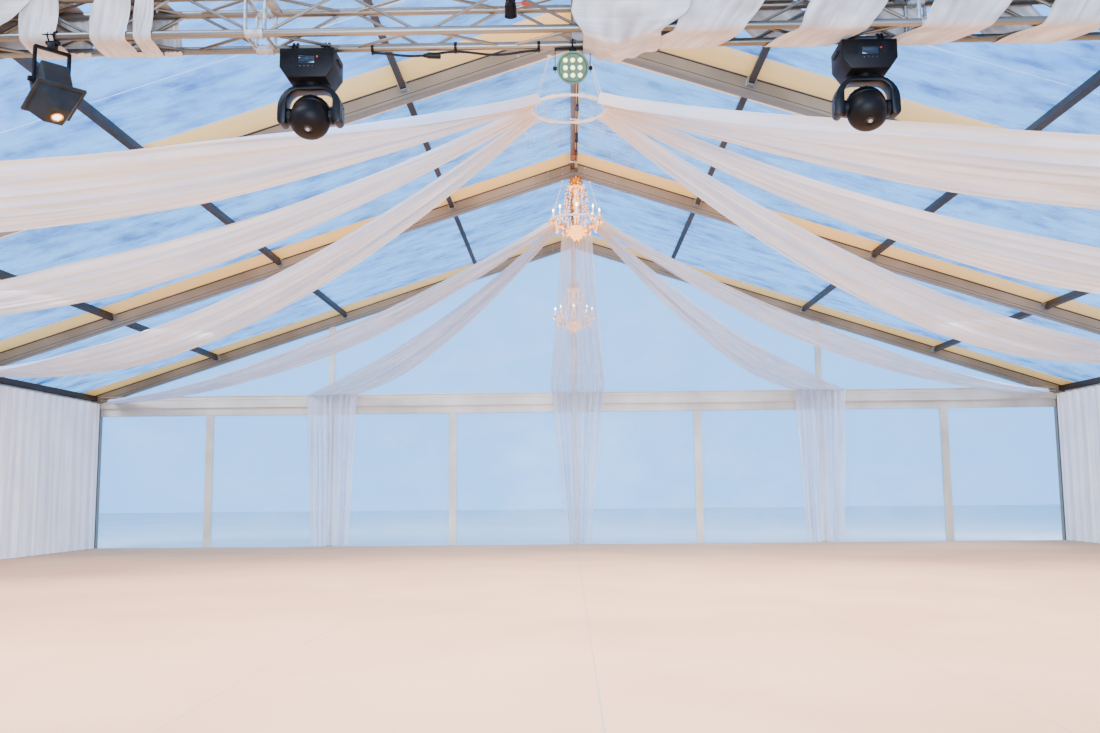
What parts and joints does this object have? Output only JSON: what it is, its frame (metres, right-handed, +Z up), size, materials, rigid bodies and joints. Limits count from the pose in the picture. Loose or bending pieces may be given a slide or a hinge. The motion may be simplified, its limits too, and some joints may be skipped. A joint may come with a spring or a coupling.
{
  "type": "marquee tent",
  "caption": "Clear-roofed clear-span marquee with white walls, open front doorways, voile ceiling swags on hoops, chandeliers and a lighting truss.",
  "frame": {"origin": "on the ground at the middle of the plan", "axes": "+Y along the ridge towards the closed back gable, +X to the right seen from the entrance, +Z up"},
  "size_m": [20.24, 25.3, 6.3992],
  "materials": {
    "frame_aluminium": "anodised, satin",
    "purlin_aluminium": "anodised, dulled",
    "clear_sheet": "clear flexible sheet",
    "white_sheeting": "coated woven sheet",
    "white_voile": "sheer woven cloth",
    "floor_boards": "matt",
    "beige_carpet": "ribbed felt",
    "gilt_metal": "polished",
    "white_enamel": "satin",
    "truss_aluminium": "brushed tube",
    "black_enamel": "satin"
  },
  "bodies": {
    "marquee": {"portal_frame_1": "frame_aluminium", "portal_frame_2": "frame_aluminium", "portal_frame_3": "frame_aluminium", "portal_frame_4": "frame_aluminium", "portal_frame_5": "frame_aluminium", "portal_frame_6": "frame_aluminium", "ridge_purlin": "purlin_aluminium", "left_purlin_1": "purlin_aluminium", "left_purlin_2": "purlin_aluminium", "left_purlin_3": "purlin_aluminium", "left_eave_purlin": "purlin_aluminium", "right_purlin_1": "purlin_aluminium", "right_purlin_2": "purlin_aluminium", "right_purlin_3": "purlin_aluminium", "right_eave_purlin": "purlin_aluminium", "roof_cover_1": "clear_sheet", "roof_cover_2": "clear_sheet", "roof_cover_3": "clear_sheet", "roof_cover_4": "clear_sheet", "roof_cover_5": "clear_sheet", "left_wall": "white_sheeting", "right_wall": "white_sheeting", "left_curtain": "white_voile", "right_curtain": "white_voile", "floor_deck": "floor_boards", "carpet": "beige_carpet", "front_gable_frame": "frame_aluminium", "front_gable_sheet_left": "clear_sheet", "front_gable_sheet_right": "clear_sheet", "front_gable_sheet_over_door": "clear_sheet", "back_gable_frame": "frame_aluminium", "back_gable_sheet": "clear_sheet", "front_hoop": "white_enamel", "back_hoop": "white_enamel", "front_chandelier": "gilt_metal", "back_chandelier": "gilt_metal", "left_near_swag": "white_voile", "left_middle_swag": "white_voile", "left_far_swag": "white_voile", "left_corner_swag": "white_voile", "left_gable_swag": "white_voile", "right_near_swag": "white_voile", "right_middle_swag": "white_voile", "right_far_swag": "white_voile", "right_corner_swag": "white_voile", "right_gable_swag": "white_voile", "centre_gable_swag": "white_voile", "lighting_truss": "truss_aluminium", "left_truss_wrap": "white_voile", "right_truss_wrap": "white_voile", "left_lamp_base": "black_enamel", "right_lamp_base": "black_enamel", "flood_yoke": "black_enamel", "par_yoke": "black_enamel"},
    "left_lamp_yoke": {"left_lamp_yoke": "black_enamel"},
    "left_lamp_head": {"left_lamp_head": "black_enamel"},
    "right_lamp_yoke": {"right_lamp_yoke": "black_enamel"},
    "right_lamp_head": {"right_lamp_head": "black_enamel"},
    "flood_body": {"flood_body": "black_enamel"},
    "par_body": {"par_body": "black_enamel"}
  },
  "joints": [
    {"name": "left_lamp_pan", "type": "hinge", "parent": "marquee", "child": "left_lamp_yoke", "pos_m": [-1.735, -2.6805, 3.64], "axis": [0, 0, 1], "range_deg": [-270, 270]},
    {"name": "left_lamp_tilt", "type": "hinge", "parent": "left_lamp_yoke", "child": "left_lamp_head", "pos_m": [-1.735, -2.6805, 3.435], "axis": [1, 0, 0], "range_deg": [-100, 170]},
    {"name": "right_lamp_pan", "type": "hinge", "parent": "marquee", "child": "right_lamp_yoke", "pos_m": [1.735, -2.6805, 3.64], "axis": [0, 0, 1], "range_deg": [-270, 270]},
    {"name": "right_lamp_tilt", "type": "hinge", "parent": "right_lamp_yoke", "child": "right_lamp_head", "pos_m": [1.735, -2.6805, 3.435], "axis": [1, 0, 0], "range_deg": [-100, 170]},
    {"name": "flood_tilt", "type": "hinge", "parent": "marquee", "child": "flood_body", "pos_m": [-3.27, -2.9195, 3.58], "axis": [0.6691, 0.7431, 0], "range_deg": [-74, 126]},
    {"name": "par_tilt", "type": "hinge", "parent": "marquee", "child": "par_body", "pos_m": [-0.088, -2.6805, 3.725], "axis": [1, 0, 0], "range_deg": [-28, 172]}
  ]
}
